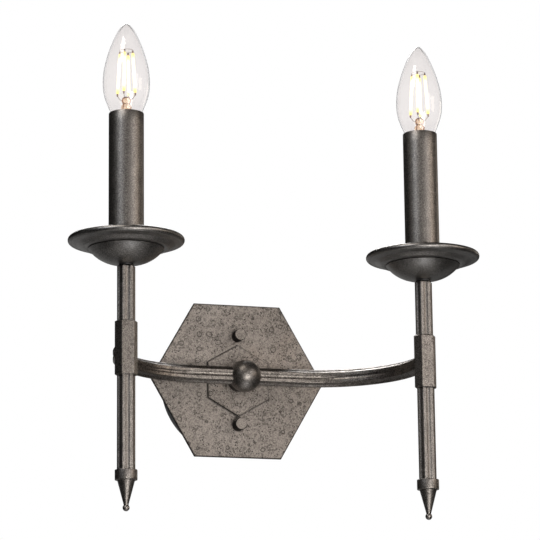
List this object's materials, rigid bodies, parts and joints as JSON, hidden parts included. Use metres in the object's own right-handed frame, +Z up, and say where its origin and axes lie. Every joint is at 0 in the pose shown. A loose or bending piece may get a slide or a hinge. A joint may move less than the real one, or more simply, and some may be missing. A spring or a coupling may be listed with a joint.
{
  "type": "double arm wall sconce",
  "caption": "Wall sconce with a hexagonal backplate, ball hub and bent arms that carry upright candle lights with drip cups, sleeves, finials and candle lamps.",
  "frame": {"origin": "on the wall, behind the centre of the backplate, midway between the two slots of the wall bracket", "axes": "+Z up, +X to the right as seen from the room, -Y straight out of the wall into the room"},
  "size_m": [0.3162, 0.1819, 0.3655],
  "materials": {
    "mottled_pewter": "satin brown-grey pewter paint, mottled with fine dark specks",
    "dark_pewter": "satin dark pewter paint, lightly mottled",
    "black_enamel": "satin black",
    "zinc_steel": "zinc plated",
    "brass": "plain",
    "solder": "dull tin solder",
    "black_glass": "gloss black vitreous insulator",
    "clear_glass": "clear",
    "filament": "yellow coated rods",
    "lamp_wire": "dull nickel wire",
    "white_plastic": "moulded",
    "black_rubber": "moulded",
    "black_insulation": "smooth cable insulation",
    "earth_insulation": "green cable insulation"
  },
  "bodies": {
    "fixture": {"wall_bracket": "zinc_steel", "bracket_studs": "zinc_steel", "stud_locknuts": "zinc_steel", "cable_grommet": "black_rubber", "earth_pillar": "brass", "earth_lead": "earth_insulation", "terminal_block": "white_plastic", "terminal_screws": "zinc_steel", "block_screw": "zinc_steel", "rear_canopy": "black_enamel", "hex_backplate": "mottled_pewter", "hex_accent_plate": "mottled_pewter", "hub_neck": "dark_pewter", "hub_ball": "dark_pewter", "hub_tube": "zinc_steel", "hub_washer": "zinc_steel", "hub_locknut": "zinc_steel", "left_arm": "dark_pewter", "left_collar": "dark_pewter", "left_stem": "dark_pewter", "left_finial": "dark_pewter", "left_candle_tube": "zinc_steel", "left_drip_cup": "dark_pewter", "left_sleeve_seat": "dark_pewter", "left_seat_nut": "zinc_steel", "left_lampholder": "white_plastic", "left_socket_shell": "brass", "left_socket_contact": "brass", "left_lead": "black_insulation", "right_arm": "dark_pewter", "right_collar": "dark_pewter", "right_stem": "dark_pewter", "right_finial": "dark_pewter", "right_candle_tube": "zinc_steel", "right_drip_cup": "dark_pewter", "right_sleeve_seat": "dark_pewter", "right_seat_nut": "zinc_steel", "right_lampholder": "white_plastic", "right_socket_shell": "brass", "right_socket_contact": "brass", "right_lead": "black_insulation"},
    "upper_thumb_nut": {"upper_thumb_nut": "dark_pewter"},
    "lower_thumb_nut": {"lower_thumb_nut": "dark_pewter"},
    "left_candle_sleeve": {"left_candle_sleeve": "dark_pewter"},
    "left_lamp": {"left_lamp_cap": "brass", "left_lamp_insulator": "black_glass", "left_lamp_contact": "solder", "left_lamp_glass": "clear_glass", "left_lamp_stem": "clear_glass", "left_lamp_filaments": "filament", "left_lamp_wires": "lamp_wire"},
    "right_candle_sleeve": {"right_candle_sleeve": "dark_pewter"},
    "right_lamp": {"right_lamp_cap": "brass", "right_lamp_insulator": "black_glass", "right_lamp_contact": "solder", "right_lamp_glass": "clear_glass", "right_lamp_stem": "clear_glass", "right_lamp_filaments": "filament", "right_lamp_wires": "lamp_wire"}
  },
  "joints": [
    {"name": "upper_thumb_nut_travel", "type": "slide", "parent": "fixture", "child": "upper_thumb_nut", "axis": [0, -1, 0], "range_m": [0, 0.012]},
    {"name": "lower_thumb_nut_travel", "type": "slide", "parent": "fixture", "child": "lower_thumb_nut", "axis": [0, -1, 0], "range_m": [0, 0.012]},
    {"name": "left_lamp_travel", "type": "slide", "parent": "fixture", "child": "left_lamp", "axis": [0, 0, 1], "range_m": [0, 0.035]},
    {"name": "left_sleeve_lift", "type": "slide", "parent": "fixture", "child": "left_candle_sleeve", "axis": [0, 0, 1], "range_m": [0, 0.0015]},
    {"name": "right_lamp_travel", "type": "slide", "parent": "fixture", "child": "right_lamp", "axis": [0, 0, 1], "range_m": [0, 0.035]},
    {"name": "right_sleeve_lift", "type": "slide", "parent": "fixture", "child": "right_candle_sleeve", "axis": [0, 0, 1], "range_m": [0, 0.0015]}
  ]
}
